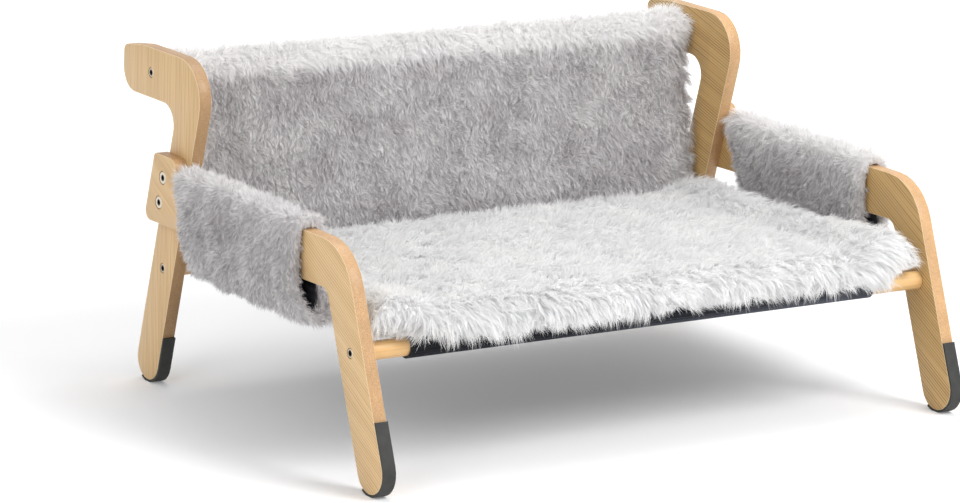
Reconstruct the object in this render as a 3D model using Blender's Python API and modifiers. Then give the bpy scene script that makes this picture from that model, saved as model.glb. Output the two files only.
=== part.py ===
"""Elevated cat bed: a sling seat and back on three dowels, held by bolted wooden side frames.

Metres, +Z up, front towards -Y. Each side frame is two flat boards: the outer arm board is the
front leg and armrest, the inner post board is the rear leg and back post. The side view of the
boards is drawn in the Y, Z plane, with Y measured from the centre of the front foot.
"""
import bpy
import bmesh
from math import acos, atan2, cos, hypot, pi, radians, sin, sqrt, tan
from mathutils import Vector

# Driving dimensions of the two side frames
frame_width = 0.600
board_thickness = 0.012
board_edge_radius = 0.0015
leg_width = 0.039
leg_lean = radians(21.2)
arm_height = 0.199
arm_depth = 0.041
elbow_outer_radius = 0.050
elbow_inner_radius = 0.012
foot_spacing = 0.3925
post_width = 0.037
post_lean = radians(14.9)
post_height = 0.300
post_top_radius = 0.036
hook_depth = 0.0445
hook_overhang = 0.0525
hook_under_radius = 0.018
hook_heel_radius = 0.020
hook_tip_radius = 0.007
hook_tip_drop = 0.005
hook_top_radius = 0.0445
hook_top_reach = 0.014
shoulder_rise = 0.015
shoulder_drop = 0.047
shoulder_front_reach = 0.013
shoulder_rear_reach = 0.0235
shoulder_top_radius = 0.010
shoulder_step_radius = 0.004
shoulder_heel_radius = 0.008
shoulder_tip_radius = 0.0045

# Foot pads
pad_thickness = 0.002
pad_flat_depth = 0.0005
front_pad_height = 0.056
rear_pad_height = 0.050
pad_heel_angle = radians(30)

# Dowels and fasteners
rod_diameter = 0.016
front_rod_height = 0.112
rear_rod_height = 0.108
top_rod_inset = 0.049
screw_diameter = 0.006
rod_screw_head = 0.0085
bolt_head = 0.0115
head_thickness = 0.002
head_recess = 0.0025
rod_screw_reach = 0.011
bolt_reach = 0.0085
hex_size = 0.0035
hex_depth = 0.003
insert_diameter = 0.010
rod_insert_length = 0.013
board_insert_length = 0.010
rod_hole_depth = 0.015
upper_bolt_drop = 0.005
lower_bolt_drop = 0.028
bolt_setback = 0.004

# Canvas, lining and plush
canvas_thickness = 0.0018
canvas_side_gap = 0.0284
seat_sag = 0.005
pocket_seam = 0.024
back_side_gap = 0.0049
back_plush_thickness = 0.010
back_wrap_drop = 0.026
seat_side_gap = 0.0029
seat_plush_thickness = 0.020
seat_side_draw = 0.004
seat_corner_bulge = 0.008
seat_front_rise = 0.005
seat_hem_wave = 0.0025
lining_thickness = 0.0012
sleeve_front_gap = 0.0027
sleeve_front_lean = 0.018
sleeve_rear_gap = 0.016
sleeve_rear_rake = 0.030
sleeve_drop = 0.078
sleeve_plush_thickness = 0.0075
sleeve_taper = 0.003
sleeve_fold_depth = 0.003
sleeve_folds = 5
lining_show = 0.002
edge_fullness = 0.75
top_fullness = 0.6

# Clearances between pieces that touch
fit_gap = 0.0003
bend_gap = 0.0009

# Mesh fineness
arc_step = radians(12)
fine_arc_step = radians(15)
rod_sides = 28
screw_steps = 16
seat_steps = 12
seat_columns = 10
seat_rows = (7, 5)
back_columns = 6
back_rows = (4, 12)
sleeve_run = 0.014
sleeve_rows_per_fold = 3

# Sizes that follow from the ones above
foot_radius = leg_width / 2
rear_foot_radius = post_width / 2
pad_reach = fit_gap + pad_thickness
front_foot = Vector((0, foot_radius + pad_reach - pad_flat_depth))
rear_foot = Vector((foot_spacing, rear_foot_radius + pad_reach - pad_flat_depth))
arm_board_x = frame_width / 2 - board_thickness / 2
post_board_x = arm_board_x - board_thickness - fit_gap
front_rod_length = 2 * (arm_board_x - board_thickness / 2 - fit_gap)
rear_rod_length = 2 * (post_board_x - board_thickness / 2 - fit_gap)
rod_radius = rod_diameter / 2
pocket_radius = rod_radius + fit_gap + canvas_thickness / 2
pocket_outside = pocket_radius + canvas_thickness / 2
hook_end = foot_spacing + hook_overhang
shoulder_top = arm_height + shoulder_rise
shoulder_bottom = arm_height - shoulder_drop
inner_half_width = rear_rod_length / 2
canvas_half_width = inner_half_width - canvas_side_gap
back_half_width = inner_half_width - back_side_gap
seat_half_width = inner_half_width - seat_side_gap
sleeve_bottom = arm_height - sleeve_drop


def leg_axis(height):
    """Y of the front leg's centre line at a height."""
    return (height - front_foot.y) * tan(leg_lean)


def post_axis(height):
    """Y of the rear leg's and back post's centre line at a height."""
    return foot_spacing - (height - rear_foot.y) * tan(post_lean)


front_rod = Vector((leg_axis(front_rod_height), front_rod_height))
rear_rod = Vector((post_axis(rear_rod_height), rear_rod_height))
top_rod = Vector((hook_end - top_rod_inset, post_height - hook_depth / 2))
frame_front = front_foot.x - foot_radius - pad_reach
depth_centre = (frame_front + hook_end) / 2
shoulder_front = post_axis(shoulder_top) - shoulder_front_reach
sleeve_front = leg_axis(arm_height) + foot_radius / cos(leg_lean) + sleeve_front_gap
sleeve_rear = shoulder_front - sleeve_rear_gap


# Scene, collections and materials
for old in list(bpy.data.objects):
    bpy.data.objects.remove(old, do_unlink=True)

parts = bpy.data.collections.new("elevated_cat_bed")
cutters = bpy.data.collections.new("cutters")
for group in (parts, cutters):
    bpy.context.scene.collection.children.link(group)

root = bpy.data.objects.new("bed_origin", None)
root.location = (0, -depth_centre, 0)
parts.objects.link(root)

finishes = {
    "board_wood": ((0.76, 0.58, 0.36), 0.5, 0.0),
    "rod_wood": ((0.80, 0.58, 0.33), 0.45, 0.0),
    "screw_steel": ((0.62, 0.60, 0.57), 0.35, 1.0),
    "insert_steel": ((0.55, 0.50, 0.38), 0.4, 1.0),
    "pad_rubber": ((0.03, 0.03, 0.033), 0.7, 0.0),
    "canvas": ((0.03, 0.033, 0.04), 0.9, 0.0),
    "grey_plush": ((0.45, 0.43, 0.45), 0.95, 0.0),
    "pale_plush": ((0.75, 0.75, 0.77), 0.95, 0.0),
}


def finish(piece, kind):
    """Give a piece its own material of one of the named finishes."""
    colour, roughness, metallic = finishes[kind]
    material = bpy.data.materials.new(piece.name + "_" + kind)
    material.use_nodes = True
    shader = material.node_tree.nodes["Principled BSDF"]
    shader.inputs["Base Color"].default_value = (*colour, 1)
    shader.inputs["Roughness"].default_value = roughness
    shader.inputs["Metallic"].default_value = metallic
    piece.data.materials.clear()
    piece.data.materials.append(material)


def add_part(name, mesh, kind, location=(0, 0, 0), rotation=(0, 0, 0)):
    """Put a mesh into the bed as one named piece with its own mesh and material."""
    piece = bpy.data.objects.new(name, mesh)
    piece.location = location
    piece.rotation_euler = rotation
    piece.parent = root
    parts.objects.link(piece)
    finish(piece, kind)
    return piece


def add_cutter(name, mesh, location, rotation):
    """Put a mesh into the cutters, drawn as wire and left out of renders."""
    cutter = bpy.data.objects.new(name, mesh)
    cutter.location = location
    cutter.rotation_euler = rotation
    cutter.parent = root
    cutter.display_type = "WIRE"
    cutter.hide_render = True
    cutters.objects.link(cutter)
    return cutter


def cut(piece, cutter):
    """Take a cutter's shape out of a piece."""
    boolean = piece.modifiers.new("cut_" + cutter.name, "BOOLEAN")
    boolean.operation = "DIFFERENCE"
    boolean.solver = "EXACT"
    boolean.object = cutter


# Outlines
def arc(centre, radius, start, end, step=arc_step):
    """Points on an arc, ends included, in equal steps no larger than step."""
    count = max(1, round(abs(end - start) / step))
    angles = [start + (end - start) * i / count for i in range(count + 1)]
    return [Vector((centre[0] + radius * cos(a), centre[1] + radius * sin(a))) for a in angles]


def rounded_corner(before, corner, after, radius, step):
    """Points of the arc that rounds one corner of an outline."""
    into, out = (before - corner).normalized(), (after - corner).normalized()
    half = into.angle(out) / 2
    reach = radius / tan(half)
    centre = corner + (into + out).normalized() * radius / sin(half)
    first, last = corner + into * reach, corner + out * reach
    start = atan2(first.y - centre.y, first.x - centre.x)
    turn = atan2(last.y - centre.y, last.x - centre.x) - start
    turn = (turn + pi) % (2 * pi) - pi
    return arc(centre, radius, start, start + turn, step)


def rounded_outline(corners, step=arc_step, closed=True):
    """Outline through corners of (point, radius), each rounded by its own radius."""
    points = [Vector(point) for point, radius in corners]
    outline = []
    for i, (point, radius) in enumerate(corners):
        at_end = not closed and i in (0, len(corners) - 1)
        if radius == 0 or at_end:
            outline.append(points[i])
        else:
            after = points[(i + 1) % len(points)]
            outline += rounded_corner(points[i - 1], points[i], after, radius, step)
    return outline


def side_curve(name, outline, half_extrude, cyclic):
    """A curve object drawn in the Y, Z plane and extruded along X."""
    curve = bpy.data.curves.new(name, "CURVE")
    curve.dimensions = "2D"
    curve.fill_mode = "BOTH" if cyclic else "NONE"
    curve.extrude = half_extrude
    spline = curve.splines.new("POLY")
    spline.points.add(len(outline) - 1)
    for spot, point in zip(spline.points, outline):
        spot.co = (point.x, point.y, 0, 1)
    spline.use_cyclic_u = cyclic
    drawn = bpy.data.objects.new(name, curve)
    bpy.context.scene.collection.objects.link(drawn)
    return drawn


def curve_to_mesh(drawn, whole_faces):
    """The curve's surface as a welded mesh; the curve is removed.

    whole_faces joins the triangles of a board's flat faces, so that Bevel finds clean edges.
    """
    bpy.context.view_layer.update()
    evaluated = drawn.evaluated_get(bpy.context.evaluated_depsgraph_get())
    mesh = bpy.data.meshes.new_from_object(evaluated)
    shape = bmesh.new()
    shape.from_mesh(mesh)
    bmesh.ops.remove_doubles(shape, verts=shape.verts, dist=0.00001)
    if whole_faces:
        bmesh.ops.dissolve_limit(shape, angle_limit=radians(1), verts=shape.verts,
                                 edges=shape.edges)
    bmesh.ops.recalc_face_normals(shape, faces=shape.faces)
    shape.to_mesh(mesh)
    shape.free()
    bpy.data.objects.remove(drawn, do_unlink=True)
    return mesh


side_rotation = (radians(90), 0, radians(90))


def flat_piece(name, outline, thickness, x, kind):
    """A flat board of an outline drawn in the Y, Z plane."""
    mesh = curve_to_mesh(side_curve(name, outline, thickness / 2, True), True)
    return add_part(name, mesh, kind, (x, 0, 0), side_rotation)


def turned_mesh(name, profile, steps=screw_steps):
    """A shape turned round Z from its (radius, height) profile, listed from the top down."""
    mesh = bpy.data.meshes.new(name)
    line = bmesh.new()
    spots = [line.verts.new((radius, 0, height)) for radius, height in profile]
    for i in range(len(spots) - 1):
        line.edges.new((spots[i], spots[i + 1]))
    if profile[0][0] > 0:
        line.edges.new((spots[-1], spots[0]))
    line.to_mesh(mesh)
    line.free()
    blank = bpy.data.objects.new(name, mesh)
    bpy.context.scene.collection.objects.link(blank)
    screw = blank.modifiers.new("turn", "SCREW")
    screw.steps = steps
    screw.render_steps = steps
    screw.use_merge_vertices = True
    screw.merge_threshold = 0.00001
    return applied_mesh(blank)


def applied_mesh(blank):
    """The mesh of an object with its modifiers applied; the object is removed."""
    bpy.context.view_layer.update()
    evaluated = blank.evaluated_get(bpy.context.evaluated_depsgraph_get())
    mesh = bpy.data.meshes.new_from_object(evaluated)
    bpy.data.objects.remove(blank, do_unlink=True)
    return mesh


def smooth(piece, angle=radians(30)):
    """Shade a piece smooth except at its real edges."""
    piece.data.shade_smooth()
    piece.data.set_sharp_from_angle(angle=angle)


# Side frames
def foot_corners(foot, lean, radius):
    """The two outline corners that round a leg's lower end, rear one first."""
    up = Vector((sin(lean), cos(lean)))
    across = Vector((cos(lean), -sin(lean)))
    nearly = radius * 0.999
    return [(foot - up * radius + across * radius, nearly),
            (foot - up * radius - across * radius, nearly)]


def arm_board_outline():
    """Front leg, elbow, armrest and the raised shoulder that the bolts pass through."""
    half = leg_width / 2
    under = arm_height - arm_depth
    rear = shoulder_rear_reach / cos(post_lean)
    elbow_outside = Vector((leg_axis(arm_height) - half / cos(leg_lean), arm_height))
    elbow_inside = Vector((leg_axis(under) + half / cos(leg_lean), under))
    corners = foot_corners(front_foot, leg_lean, half)[::-1]
    corners = [corners[0], (elbow_outside, elbow_outer_radius),
               ((shoulder_front, arm_height), shoulder_step_radius),
               ((shoulder_front, shoulder_top), shoulder_top_radius),
               ((post_axis(shoulder_top) + rear, shoulder_top), shoulder_tip_radius),
               ((post_axis(shoulder_bottom) + rear, shoulder_bottom), shoulder_heel_radius),
               (elbow_inside, elbow_inner_radius), corners[1]]
    return rounded_outline(corners)


def post_board_outline():
    """Rear leg, back post and the hook that carries the top rod."""
    half = post_width / 2 / cos(post_lean)
    hook_under = post_height - hook_depth
    corners = foot_corners(rear_foot, -post_lean, post_width / 2)
    corners = [corners[1], ((post_axis(post_height) - half, post_height), post_top_radius),
               ((top_rod.x + hook_top_reach, post_height), hook_top_radius),
               ((hook_end, post_height - hook_tip_drop), hook_tip_radius),
               ((hook_end, hook_under), hook_heel_radius),
               ((post_axis(hook_under) + half, hook_under), hook_under_radius), corners[0]]
    return rounded_outline(corners)


def stepped_hole(name, bore, head, x, spot, side):
    """Cutter for a screw hole along X whose wide recess opens on the board's outer face."""
    end = board_thickness * 1.5
    head_at = -head_recess
    profile = [(0, end), (head, end), (head, head_at), (bore, head_at), (bore, -end), (0, -end)]
    mesh = turned_mesh(name, profile)
    place = (side * (x + board_thickness / 2), spot.x, spot.y)
    return add_cutter(name, mesh, place, (0, side * radians(90), 0))


def plain_hole(name, radius, depth, face_x, spot, side):
    """Cutter for a blind hole along X that opens on the face at face_x."""
    mesh = turned_mesh(name, [(0, depth), (radius, depth), (radius, -depth), (0, -depth)])
    place = (side * face_x, spot.x, spot.y)
    return add_cutter(name, mesh, place, (0, side * radians(90), 0))


def bevel_edges(piece):
    """Round a board's long edges."""
    bevel = piece.modifiers.new("rounded_edges", "BEVEL")
    bevel.width = board_edge_radius
    bevel.segments = 2
    bevel.limit_method = "ANGLE"
    bevel.angle_limit = radians(50)


def bolt_spot(height):
    """Where a shoulder bolt sits, a little behind the post's centre line."""
    return Vector((post_axis(height) + bolt_setback, height))


bolt_spots = {"upper": bolt_spot(arm_height - upper_bolt_drop),
              "lower": bolt_spot(arm_height - lower_bolt_drop)}
shank_hole = screw_diameter / 2 + fit_gap
rod_head_hole = rod_screw_head / 2 + fit_gap
bolt_head_hole = bolt_head / 2 + fit_gap
insert_hole = insert_diameter / 2 + fit_gap


def make_side(side, word):
    """The two boards of one side frame, with their holes. side is -1 for left, 1 for right."""
    arm = flat_piece("arm_board_" + word, arm_board_outline(), board_thickness,
                     side * arm_board_x, "board_wood")
    post = flat_piece("post_board_" + word, post_board_outline(), board_thickness,
                      side * post_board_x, "board_wood")
    for board in (arm, post):
        bevel_edges(board)
        smooth(board)
    cut(arm, stepped_hole("front_rod_hole_" + word, shank_hole, rod_head_hole, arm_board_x,
                          front_rod, side))
    cut(post, stepped_hole("rear_rod_hole_" + word, shank_hole, rod_head_hole, post_board_x,
                           rear_rod, side))
    cut(post, stepped_hole("top_rod_hole_" + word, shank_hole, rod_head_hole, post_board_x,
                           top_rod, side))
    for place, spot in bolt_spots.items():
        cut(arm, stepped_hole(place + "_bolt_hole_" + word, shank_hole, bolt_head_hole,
                              arm_board_x, spot, side))
        cut(post, plain_hole(place + "_insert_hole_" + word, insert_hole,
                             board_insert_length + 2 * fit_gap,
                             post_board_x + board_thickness / 2,
                             spot, side))


# Foot pads
def pad_outline(foot, radius, lean, height):
    """A strip round a leg's front edge and foot, flat where it meets the ground.

    lean is positive where the leg's top leans back. The strip starts at a height on the front
    edge and ends just behind the foot's lowest point.
    """
    inside, outside = radius + fit_gap, radius + fit_gap + pad_thickness
    start, end = pi - lean, pi * 1.5 + pad_heel_angle
    up = Vector((sin(lean), cos(lean)))
    out = Vector((cos(start), sin(start)))
    run = (height - foot.y) / cos(lean)
    top_inside = foot + out * inside + up * run
    top_outside = foot + out * outside + up * run
    flat = acos((outside - pad_flat_depth) / outside)
    count = round((end - start) / arc_step)
    inside_arc = arc(foot, inside / cos((end - start) / count / 2), start, end)
    before_flat = arc(foot, outside, start, pi * 1.5 - flat)
    after_flat = arc(foot, outside, pi * 1.5 + flat, end)
    return [top_outside] + before_flat + after_flat + inside_arc[::-1] + [top_inside]


def make_pads(side, word):
    """The front and rear foot pads of one side."""
    flat_piece("front_foot_pad_" + word, pad_outline(front_foot, foot_radius, leg_lean,
               front_pad_height), board_thickness, side * arm_board_x, "pad_rubber")
    flat_piece("rear_foot_pad_" + word, pad_outline(rear_foot, rear_foot_radius, -post_lean,
               rear_pad_height), board_thickness, side * post_board_x, "pad_rubber")


# Dowels and fasteners
def make_rod(name, length, spot):
    """A dowel along X with a blind hole in each end for its threaded insert."""
    bpy.ops.mesh.primitive_cylinder_add(vertices=rod_sides, radius=rod_radius, depth=length)
    blank = bpy.context.object
    mesh = blank.data
    bpy.data.objects.remove(blank, do_unlink=True)
    rod = add_part(name, mesh, "rod_wood", (0, spot.x, spot.y), (0, radians(90), 0))
    smooth(rod)
    for side, word in ((-1, "left"), (1, "right")):
        hole = plain_hole(name + "_hole_" + word, insert_hole, rod_hole_depth, length / 2,
                          spot, side)
        cut(rod, hole)


def screw_mesh(name, head, length):
    """A flat-headed socket screw along Z: head on top at zero, shank below, hexagon sunk in."""
    shank = screw_diameter / 2
    tip = shank * 0.6
    chamfer = head_thickness * 0.25
    profile = [(0, 0), (head / 2 - chamfer, 0), (head / 2, -chamfer),
               (head / 2, -head_thickness), (shank, -head_thickness),
               (shank, -length + tip), (tip, -length), (0, -length)]
    blank = bpy.data.objects.new(name, turned_mesh(name, profile))
    bpy.context.scene.collection.objects.link(blank)
    bpy.ops.mesh.primitive_cylinder_add(vertices=6, radius=hex_size / sqrt(3),
                                        depth=2 * hex_depth)
    hexagon = bpy.context.object
    cut(blank, hexagon)
    mesh = applied_mesh(blank)
    bpy.data.objects.remove(hexagon, do_unlink=True)
    return mesh


def insert_mesh(name, length):
    """A threaded insert's sleeve along Z, its outer end at zero."""
    bore = screw_diameter / 2 + fit_gap
    outside = insert_diameter / 2
    return turned_mesh(name, [(outside, 0), (outside, -length), (bore, -length), (bore, 0)])


def place_along_x(name, mesh, kind, face_x, spot, side):
    """Place a screw or insert whose top faces outwards at face_x."""
    piece = add_part(name, mesh.copy(), kind, (side * face_x, spot.x, spot.y),
                     (0, side * radians(90), 0))
    smooth(piece)


def make_fasteners():
    """Six rod screws with inserts in the rods, four shoulder bolts with inserts in the posts."""
    through = board_thickness - head_recess + fit_gap
    sunk = head_recess - head_thickness - fit_gap
    rod_screw = screw_mesh("rod_screw", rod_screw_head,
                           head_thickness + through + fit_gap + rod_screw_reach)
    bolt = screw_mesh("shoulder_bolt", bolt_head,
                      head_thickness + through + fit_gap + bolt_reach)
    rod_insert = insert_mesh("rod_insert", rod_insert_length)
    board_insert = insert_mesh("board_insert", board_insert_length)
    rods = (("front_rod", front_rod, arm_board_x, front_rod_length),
            ("rear_rod", rear_rod, post_board_x, rear_rod_length),
            ("top_rod", top_rod, post_board_x, rear_rod_length))
    for side, word in ((-1, "left"), (1, "right")):
        for rod, spot, board_x, length in rods:
            place_along_x(rod + "_screw_" + word, rod_screw, "screw_steel",
                          board_x + board_thickness / 2 - sunk, spot, side)
            place_along_x(rod + "_insert_" + word, rod_insert, "insert_steel",
                          length / 2 - fit_gap, spot, side)
        for place, spot in bolt_spots.items():
            place_along_x(place + "_shoulder_bolt_" + word, bolt, "screw_steel",
                          arm_board_x + board_thickness / 2 - sunk, spot, side)
            place_along_x(place + "_post_insert_" + word, board_insert, "insert_steel",
                          post_board_x + board_thickness / 2 - fit_gap, spot, side)


# Canvas sling
def seat_line(y):
    """Height of the seat canvas's middle, hanging a little between the two seat rods."""
    share = (y - front_rod.x) / (rear_rod.x - front_rod.x)
    straight = front_rod.y + (rear_rod.y - front_rod.y) * share + pocket_radius
    return straight - 4 * seat_sag * share * (1 - share)


def tangent_angle(centre, radius, point, turn):
    """Angle on a circle where a line from a point touches it; turn is 1 or -1."""
    offset = point - centre
    return atan2(offset.y, offset.x) + turn * acos(radius / hypot(offset.x, offset.y))


def ribbon(name, path, half_width, thickness, kind):
    """A sheet that follows a path drawn in the Y, Z plane, the same all along X."""
    mesh = curve_to_mesh(side_curve(name, path, half_width, False), False)
    sheet = add_part(name, mesh, kind, (0, 0, 0), side_rotation)
    solid = sheet.modifiers.new("thickness", "SOLIDIFY")
    solid.thickness = thickness
    solid.offset = 0
    solid.use_even_offset = True
    smooth(sheet)
    return sheet


def pocket_vertex_radius(radius, step):
    """Radius of the corners of a many-sided ring whose flats lie at a radius."""
    return radius / cos(step / 2)


def make_seat_canvas():
    """Seat canvas: round the front rod, back over the seat and round the rear rod."""
    below = canvas_thickness + fit_gap
    radius = pocket_vertex_radius(pocket_radius, fine_arc_step)
    front_seam_y = front_rod.x + pocket_seam
    rear_seam_y = rear_rod.x - pocket_seam
    front_seam = Vector((front_seam_y, seat_line(front_seam_y) - below))
    rear_seam = Vector((rear_seam_y, seat_line(rear_seam_y) - below))
    front_touch = tangent_angle(front_rod, radius, front_seam, -1)
    rear_touch = tangent_angle(rear_rod, radius, rear_seam, 1)
    seat = []
    for i in range(1, seat_steps):
        y = front_rod.x + (rear_rod.x - front_rod.x) * i / seat_steps
        seat.append(Vector((y, seat_line(y))))
    path = [front_seam]
    path += arc(front_rod, radius, front_touch, -1.5 * pi, fine_arc_step)
    path += seat
    path += arc(rear_rod, radius, pi / 2, rear_touch - 2 * pi, fine_arc_step)
    path += [rear_seam]
    return ribbon("seat_canvas", path, canvas_half_width, canvas_thickness, "canvas")


def back_foot():
    """Where the back canvas's lower hem meets the seat canvas, in front of the rear rod."""
    y = rear_rod.x - pocket_radius
    return Vector((y, seat_line(y) + canvas_thickness / 2 + 2 * fit_gap))


def back_path(reach, lower_end):
    """Path of a layer of the back, reach outside the top pocket's middle.

    It runs up from lower_end, over the top rod and down behind it.
    """
    radius = pocket_vertex_radius(pocket_radius + reach, fine_arc_step)
    touch = tangent_angle(top_rod, radius, lower_end, -1)
    return [lower_end] + arc(top_rod, radius, touch + 2 * pi, 0, fine_arc_step)


def make_back_canvas():
    """Back canvas: up from the seat, over the top rod, its hem sewn down behind the panel."""
    lower = back_foot()
    path = back_path(0, lower)
    touch = path[1]
    down = (lower - touch).normalized()
    behind = Vector((-down.y, down.x))
    seam = touch + down * pocket_seam + behind * (canvas_thickness + fit_gap)
    radius = pocket_vertex_radius(pocket_radius, fine_arc_step)
    last = tangent_angle(top_rod, radius, seam, 1)
    path += arc(top_rod, radius, 0, last, fine_arc_step)[1:] + [seam]
    return ribbon("back_canvas", path, back_half_width, canvas_thickness, "canvas")


# Plush covers
def path_sampler(path):
    """A function from a length along a path to the point there, and the path's full length."""
    lengths = [0]
    for first, second in zip(path, path[1:]):
        lengths.append(lengths[-1] + (second - first).length)

    def point_at(length):
        for i in range(1, len(path)):
            if length <= lengths[i] or i == len(path) - 1:
                share = (length - lengths[i - 1]) / (lengths[i] - lengths[i - 1])
                return path[i - 1].lerp(path[i], share)

    return point_at, lengths[-1]


def soft_sheet(name, columns, rows, place, thickness, kind, grow=0, levels=0, fullness=None):
    """A thick soft sheet from a grid put in place by place(across, along), from 0 to 1 each.

    grow is the side that the thickness is added on: 1 with the grid's normals, -1 against them
    and 0 for both. fullness(across, along) is the share of the thickness there.
    """
    grid = bmesh.new()
    bmesh.ops.create_grid(grid, x_segments=columns, y_segments=rows, size=0.5)
    shares = [(vert.co.x + 0.5, vert.co.y + 0.5) for vert in grid.verts]
    for vert, share in zip(grid.verts, shares):
        vert.co = place(*share)
    if fullness is None:
        bmesh.ops.remove_doubles(grid, verts=grid.verts, dist=0.00001)
    mesh = bpy.data.meshes.new(name)
    grid.to_mesh(mesh)
    grid.free()
    sheet = add_part(name, mesh, kind)
    solid = sheet.modifiers.new("thickness", "SOLIDIFY")
    solid.thickness = thickness
    solid.offset = grow
    solid.use_even_offset = True
    if fullness is not None:
        group = sheet.vertex_groups.new(name="fullness")
        for index, share in enumerate(shares):
            group.add([index], fullness(*share), "REPLACE")
        solid.vertex_group = group.name
    if levels:
        subdivision = sheet.modifiers.new("softness", "SUBSURF")
        subdivision.levels = levels
        subdivision.render_levels = levels
    sheet.data.shade_smooth()
    return sheet


def eased(value, strength):
    """Move evenly spread values from 0 to 1 towards both ends."""
    return value - strength * sin(2 * pi * value) / (2 * pi)


def split_run(along, rows, flat_length, length):
    """Length along a path: the first rows share its flat part, the others its bend."""
    flat_share = rows[0] / sum(rows)
    if along <= flat_share:
        return flat_length * along / flat_share
    return flat_length + (length - flat_length) * (along - flat_share) / (1 - flat_share)


def crown(across, along):
    """Share of a mat's thickness: full in the middle, thinner towards its hems."""
    middle = sin(pi * min(1, max(0, across))) * sin(pi * min(1, max(0, along)))
    return edge_fullness + (1 - edge_fullness) * middle ** 0.5


def make_seat_plush():
    """Seat mat: over the seat canvas and down in front of the front rod, corners full."""
    reach = canvas_thickness / 2 + fit_gap
    bend = pocket_radius + reach + bend_gap
    rear_y = back_foot().x - canvas_thickness - back_plush_thickness - 2 * bend_gap
    path = []
    for i in range(seat_steps + 1):
        y = rear_y + (front_rod.x - rear_y) * i / seat_steps
        path.append(Vector((y, seat_line(y) + reach + bend_gap * (i / seat_steps) ** 4)))
    path += arc(front_rod, bend, pi / 2, pi - seat_front_rise / bend, fine_arc_step)[1:]
    point_at, length = path_sampler(path)
    flat_length = length - bend * pi / 2 + seat_front_rise

    def place(across, along):
        spread = 2 * eased(across, 0.55) - 1
        point = point_at(split_run(along, seat_rows, flat_length, length))
        half = seat_half_width - seat_side_draw * sin(pi * along)
        half += seat_corner_bulge * along ** 6
        hem = seat_hem_wave * sin(9 * spread) * cos(4 * spread) * along ** 8
        return Vector((half * spread, point.x, point.y + hem))

    soft_sheet("seat_plush", seat_columns, sum(seat_rows), place, seat_plush_thickness,
               "pale_plush", grow=-1, levels=1, fullness=crown)


def make_back_plush():
    """Back cover: up the front of the back canvas, over the top rod and a little way down."""
    reach = canvas_thickness / 2 + fit_gap
    canvas_line = back_path(0, back_foot())
    down = (canvas_line[0] - canvas_line[1]).normalized()
    forward = Vector((down.y, -down.x))
    path = back_path(reach + bend_gap, canvas_line[0] + forward * reach)
    path.append(path[-1] - Vector((0, back_wrap_drop)))
    point_at, length = path_sampler(path)
    flat_length = (path[1] - path[0]).length

    def place(across, along):
        spread = 2 * eased(across, 0.4) - 1
        point = point_at(split_run(along, back_rows, flat_length, length))
        half = back_half_width - seat_side_draw * sin(pi * along)
        return Vector((half * spread, point.x, point.y))

    def fullness(across, along):
        over_rod = min(1, max(0, (along * sum(back_rows) - back_rows[0]) / 2))
        return crown(across, along) * (1 - (1 - top_fullness) * over_rod)

    soft_sheet("back_plush", back_columns, sum(back_rows), place, back_plush_thickness,
               "grey_plush", grow=1, levels=1, fullness=fullness)


# Arm sleeves
def shortened_runs(loop, longest):
    """The closed loop with points added so that no run is longer than longest."""
    points = []
    for i, point in enumerate(loop):
        after = loop[(i + 1) % len(loop)]
        count = max(1, round((after - point).length / longest))
        points += [point.lerp(after, j / count) for j in range(count)]
    return points


def sleeve_loop(reach, bottom, longest):
    """Cross-section of the middle of one sleeve layer round an arm board: (outward, up).

    reach is how far it lies off the board. Below the board both flaps run down to a seam.
    """
    out = board_thickness / 2 + reach
    low = out - sleeve_taper
    top = arm_height + reach
    waist = min(shoulder_bottom, arm_height - arm_depth)
    corners = [((out, top), reach), ((-out, top), reach), ((-out, waist), 0),
               ((-low, bottom), low / 2), ((low, bottom), low / 2), ((out, waist), 0)]
    return shortened_runs(rounded_outline(corners, radians(30)), longest)


def make_sleeve_layer(name, side, reach, bottom, thickness, kind, show, fold_depth, rows):
    """One tube of cloth round an arm board: the plush outside or the lining inside it."""
    loop = sleeve_loop(reach, bottom, sleeve_run)
    count = len(loop)

    def place(across, along):
        out, up = loop[round(across * count) % count]
        lean = sleeve_rear_rake * max(0, arm_height - up) / sleeve_drop
        below_board = (up - sleeve_bottom) / (arm_height - arm_depth - sleeve_bottom)
        front = sleeve_front - show + sleeve_front_lean * min(1, max(0, below_board))
        rear = sleeve_rear - lean
        if out > 0:
            slack = min(1, max(0, arm_height - up) / arm_depth)
            out += fold_depth * slack * (0.5 - 0.5 * cos(2 * pi * sleeve_folds * along))
        return Vector((side * (arm_board_x + out), front + (rear - front) * along, up))

    soft_sheet(name, count, rows, place, thickness, kind)


def make_sleeves(side, word):
    """The lining and the plush of one arm sleeve."""
    lining_reach = fit_gap + lining_thickness / 2
    plush_reach = 3 * fit_gap + lining_thickness + sleeve_plush_thickness / 2
    lining_bottom = sleeve_bottom + sleeve_plush_thickness + bend_gap + lining_thickness
    make_sleeve_layer("arm_lining_" + word, side, lining_reach, lining_bottom,
                      lining_thickness, "canvas", lining_show, 0, 2)
    make_sleeve_layer("arm_plush_" + word, side, plush_reach,
                      sleeve_bottom + sleeve_plush_thickness / 2, sleeve_plush_thickness,
                      "grey_plush", 0, sleeve_fold_depth, sleeve_rows_per_fold * sleeve_folds)


for side, word in ((-1, "left"), (1, "right")):
    make_side(side, word)
    make_pads(side, word)
    make_sleeves(side, word)
make_rod("front_rod", front_rod_length, front_rod)
make_rod("rear_rod", rear_rod_length, rear_rod)
make_rod("top_rod", rear_rod_length, top_rod)
make_fasteners()
make_seat_canvas()
make_back_canvas()
make_seat_plush()
make_back_plush()
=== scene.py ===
"""Looks of the elevated cat bed: wood, metal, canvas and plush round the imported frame.

Metres, +Z up, front towards -Y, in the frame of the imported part.
"""
from math import cos, pi, radians, sin

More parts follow.
